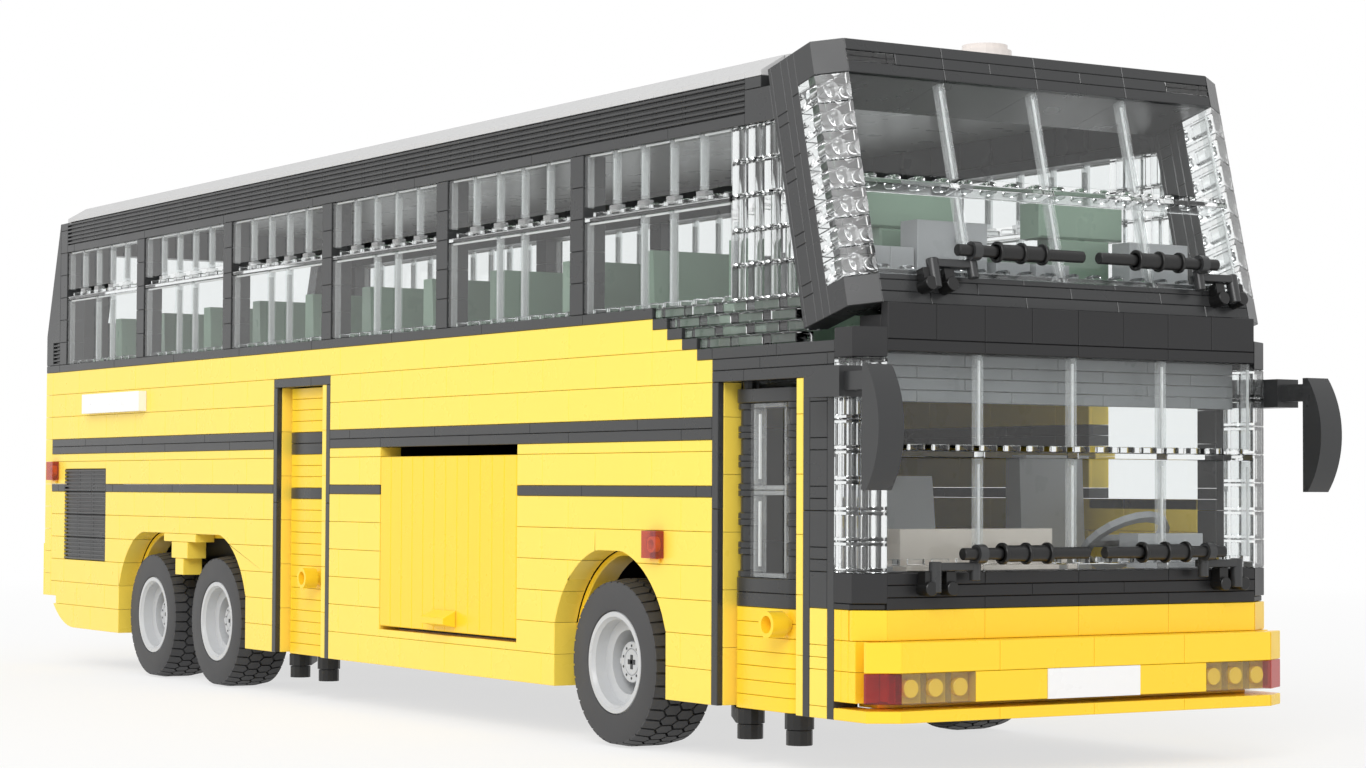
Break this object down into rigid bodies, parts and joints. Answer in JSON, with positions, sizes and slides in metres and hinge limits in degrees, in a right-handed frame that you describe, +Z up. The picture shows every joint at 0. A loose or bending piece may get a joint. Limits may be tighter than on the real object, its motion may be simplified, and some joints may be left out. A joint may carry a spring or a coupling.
{
  "type": "brick-built toy double-decker bus",
  "caption": "Yellow and dark grey double-decker coach built from interlocking toy bricks, with steered front wheels, hinged doors and luggage hatches",
  "frame": {"origin": "on the ground, at the middle of the bounding box", "axes": "+X is the front of the bus, +Y its left side, +Z up"},
  "size_m": [0.6276, 0.16, 0.208],
  "materials": {
    "yellow": "smooth moulded plastic",
    "dark_grey": "smooth moulded plastic",
    "black": "smooth moulded plastic",
    "clear": "smooth moulded plastic",
    "white": "smooth moulded plastic",
    "light_grey": "smooth moulded plastic",
    "rubber": "smooth moulded plastic",
    "red": "smooth moulded plastic",
    "amber": "smooth moulded plastic",
    "green": "smooth moulded plastic"
  },
  "bodies": {
    "coach": {"chassis": "black", "clear_corners": "clear", "dashboard": "light_grey", "door_posts": "dark_grey", "driver_seat": "light_grey", "front_bumper": "yellow", "front_header": "dark_grey", "front_sill": "dark_grey", "headlamps": "clear", "left_glazing": "clear", "left_skirt": "yellow", "left_wall": "yellow", "left_window_frame": "dark_grey", "luggage_bay": "black", "marker_lamps": "amber", "mirrors": "dark_grey", "rear_panel": "dark_grey", "rear_wall": "yellow", "red_lamps": "red", "ribbed_grilles": "dark_grey", "right_glazing": "clear", "right_skirt": "yellow", "right_wall": "yellow", "right_window_frame": "dark_grey", "roof": "white", "roof_dome": "white", "sign_plates": "white", "stripes": "dark_grey", "upper_deck": "dark_grey", "upper_front_frame": "dark_grey", "upper_seats": "green", "wheel_housings": "black", "windscreens": "clear", "wipers": "light_grey"},
    "front_right_steer": {"front_right_knuckle": "black"},
    "front_left_steer": {"front_left_knuckle": "black"},
    "front_right_wheel": {"front_right_rim": "light_grey", "front_right_tyre": "rubber"},
    "front_left_wheel": {"front_left_rim": "light_grey", "front_left_tyre": "rubber"},
    "steering_link": {"track_rod": "light_grey"},
    "middle_wheels": {"middle_wheelset": "light_grey", "middle_tyres": "rubber"},
    "rear_wheels": {"rear_wheelset": "light_grey", "rear_tyres": "rubber"},
    "front_door_leaf": {"front_door": "yellow", "front_door_frame": "dark_grey", "front_door_glass": "clear", "front_door_axles": "black"},
    "rear_door_leaf": {"rear_door": "yellow", "rear_door_bands": "dark_grey", "rear_door_axles": "black"},
    "right_hatch_leaf": {"right_hatch": "yellow"},
    "left_hatch_leaf": {"left_hatch": "yellow"}
  },
  "joints": [
    {"name": "steer_right", "type": "hinge", "parent": "coach", "child": "front_right_steer", "pos_m": [0.1678, -0.038, 0.02475], "axis": [0, 0, 1], "range_deg": [-15, 15]},
    {"name": "spin_front_right", "type": "hinge", "parent": "front_right_steer", "child": "front_right_wheel", "pos_m": [0.1678, -0.06, 0.02475], "axis": [0, 1, 0], "continuous": true},
    {"name": "steer_left", "type": "hinge", "parent": "coach", "child": "front_left_steer", "pos_m": [0.1678, 0.038, 0.02475], "axis": [0, 0, 1], "range_deg": [-15, 15]},
    {"name": "spin_front_left", "type": "hinge", "parent": "front_left_steer", "child": "front_left_wheel", "pos_m": [0.1678, 0.06, 0.02475], "axis": [0, 1, 0], "continuous": true},
    {"name": "track_rod_swing", "type": "hinge", "parent": "front_right_steer", "child": "steering_link", "pos_m": [0.1538, -0.038, 0.01675], "axis": [0, 0, 1], "range_deg": [-15, 15]},
    {"name": "spin_middle", "type": "hinge", "parent": "coach", "child": "middle_wheels", "pos_m": [-0.1282, 0, 0.02475], "axis": [0, 1, 0], "continuous": true},
    {"name": "spin_rear", "type": "hinge", "parent": "coach", "child": "rear_wheels", "pos_m": [-0.1922, 0, 0.02475], "axis": [0, 1, 0], "continuous": true},
    {"name": "front_door_hinge", "type": "hinge", "parent": "coach", "child": "front_door_leaf", "pos_m": [0.2318, -0.064, 0.016], "axis": [0, 0, -1], "range_deg": [0, 90]},
    {"name": "rear_door_hinge", "type": "hinge", "parent": "coach", "child": "rear_door_leaf", "pos_m": [-0.0642, -0.064, 0.016], "axis": [0, 0, -1], "range_deg": [0, 90]},
    {"name": "right_hatch_hinge", "type": "hinge", "parent": "coach", "child": "right_hatch_leaf", "pos_m": [0.0638, -0.068, 0.0824], "axis": [-1, 0, 0], "range_deg": [0, 90]},
    {"name": "left_hatch_hinge", "type": "hinge", "parent": "coach", "child": "left_hatch_leaf", "pos_m": [0.0638, 0.068, 0.0824], "axis": [1, 0, 0], "range_deg": [0, 90]}
  ],
  "couplings": [
    {"joint": "steer_left", "follows": "steer_right", "ratio": 1},
    {"joint": "track_rod_swing", "follows": "steer_right", "ratio": -1}
  ]
}
